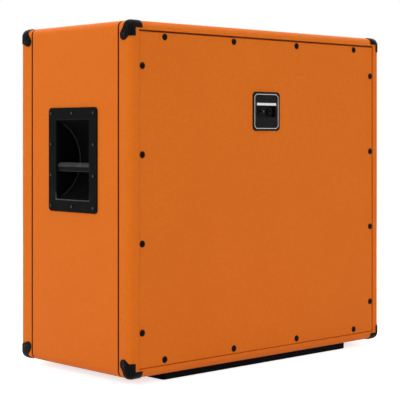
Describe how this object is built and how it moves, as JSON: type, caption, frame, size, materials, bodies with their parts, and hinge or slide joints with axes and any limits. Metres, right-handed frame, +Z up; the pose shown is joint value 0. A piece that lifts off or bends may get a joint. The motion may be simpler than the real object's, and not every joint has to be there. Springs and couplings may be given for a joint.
{
  "type": "guitar speaker cabinet",
  "caption": "Closed-back guitar speaker cabinet in grained vinyl with recessed bar handles, corner caps, skids, a screwed rear panel with jack plate, and drivers behind a cloth grille.",
  "frame": {"origin": "centre of the bounding box on the floor, under the skids", "axes": "+X along the width, +Y out of the rear panel, -Y out of the grille, +Z up"},
  "size_m": [0.7904, 0.377, 0.7335],
  "materials": {
    "orange_vinyl": "grained, satin",
    "plywood": "bare",
    "black_painted_wood": "matt",
    "skid_plastic": "matt",
    "handle_plastic": "satin",
    "handle_bar": "matt",
    "cap_plastic": "satin",
    "jack_plastic": "matt",
    "socket_plastic": "matt",
    "black_steel": "black",
    "grille_cloth": "woven",
    "piping": "satin",
    "driver_steel": "satin",
    "cone_paper": "matt",
    "coil": "matt",
    "gasket": "matt",
    "surround": "treated",
    "spider": "treated",
    "zinc_steel": "plated",
    "ferrite": "ground",
    "terminal_board": "bare"
  },
  "bodies": {
    "cabinet": {"top_board": "plywood", "bottom_board": "plywood", "side_board_right": "plywood", "side_board_left": "plywood", "covering_front": "orange_vinyl", "covering_middle": "orange_vinyl", "covering_rear": "orange_vinyl", "rear_battens": "plywood", "baffle_battens": "plywood", "centre_post": "plywood", "rear_panel": "plywood", "rear_panel_covering": "orange_vinyl", "rear_panel_screws": "black_steel", "rear_panel_cup_washers": "black_steel", "jack_plate": "jack_plastic", "jack_plate_screws": "black_steel", "jack_socket_left": "socket_plastic", "jack_socket_right": "socket_plastic", "jack_nuts": "black_steel", "baffle": "black_painted_wood", "baffle_screws": "black_steel", "grille_frame": "plywood", "grille_cloth": "grille_cloth", "grille_piping": "piping", "skid_rear": "skid_plastic", "skid_front": "skid_plastic", "skid_screws": "black_steel", "handle_dish_right": "handle_plastic", "handle_dish_left": "handle_plastic", "handle_bar_right": "handle_bar", "handle_bar_left": "handle_bar", "handle_screws": "black_steel", "corner_caps_rear": "cap_plastic", "corner_caps_front": "cap_plastic", "corner_cap_screws": "black_steel", "driver_gaskets": "gasket", "driver_surrounds": "surround", "driver_spiders": "spider", "driver_top_plates": "zinc_steel", "driver_magnets": "ferrite", "driver_yokes": "zinc_steel", "driver_terminals": "terminal_board", "driver_bolts": "black_steel", "driver_nuts": "black_steel", "driver_1_frame": "driver_steel", "driver_2_frame": "driver_steel", "driver_3_frame": "driver_steel", "driver_4_frame": "driver_steel"},
    "cone_1": {"driver_1_cone": "cone_paper", "driver_1_dust_cap": "cone_paper", "driver_1_voice_coil": "coil"},
    "cone_2": {"driver_2_cone": "cone_paper", "driver_2_dust_cap": "cone_paper", "driver_2_voice_coil": "coil"},
    "cone_3": {"driver_3_cone": "cone_paper", "driver_3_dust_cap": "cone_paper", "driver_3_voice_coil": "coil"},
    "cone_4": {"driver_4_cone": "cone_paper", "driver_4_dust_cap": "cone_paper", "driver_4_voice_coil": "coil"}
  },
  "joints": [
    {"name": "cone_1_travel", "type": "slide", "parent": "cabinet", "child": "cone_1", "axis": [0, -1, 0], "range_m": [-0.003, 0.003], "stiffness_N_per_m": 6000, "deforming": ["driver_surrounds", "driver_spiders"]},
    {"name": "cone_2_travel", "type": "slide", "parent": "cabinet", "child": "cone_2", "axis": [0, -1, 0], "range_m": [-0.003, 0.003], "stiffness_N_per_m": 6000, "deforming": ["driver_surrounds", "driver_spiders"]},
    {"name": "cone_3_travel", "type": "slide", "parent": "cabinet", "child": "cone_3", "axis": [0, -1, 0], "range_m": [-0.003, 0.003], "stiffness_N_per_m": 6000, "deforming": ["driver_surrounds", "driver_spiders"]},
    {"name": "cone_4_travel", "type": "slide", "parent": "cabinet", "child": "cone_4", "axis": [0, -1, 0], "range_m": [-0.003, 0.003], "stiffness_N_per_m": 6000, "deforming": ["driver_surrounds", "driver_spiders"]}
  ]
}
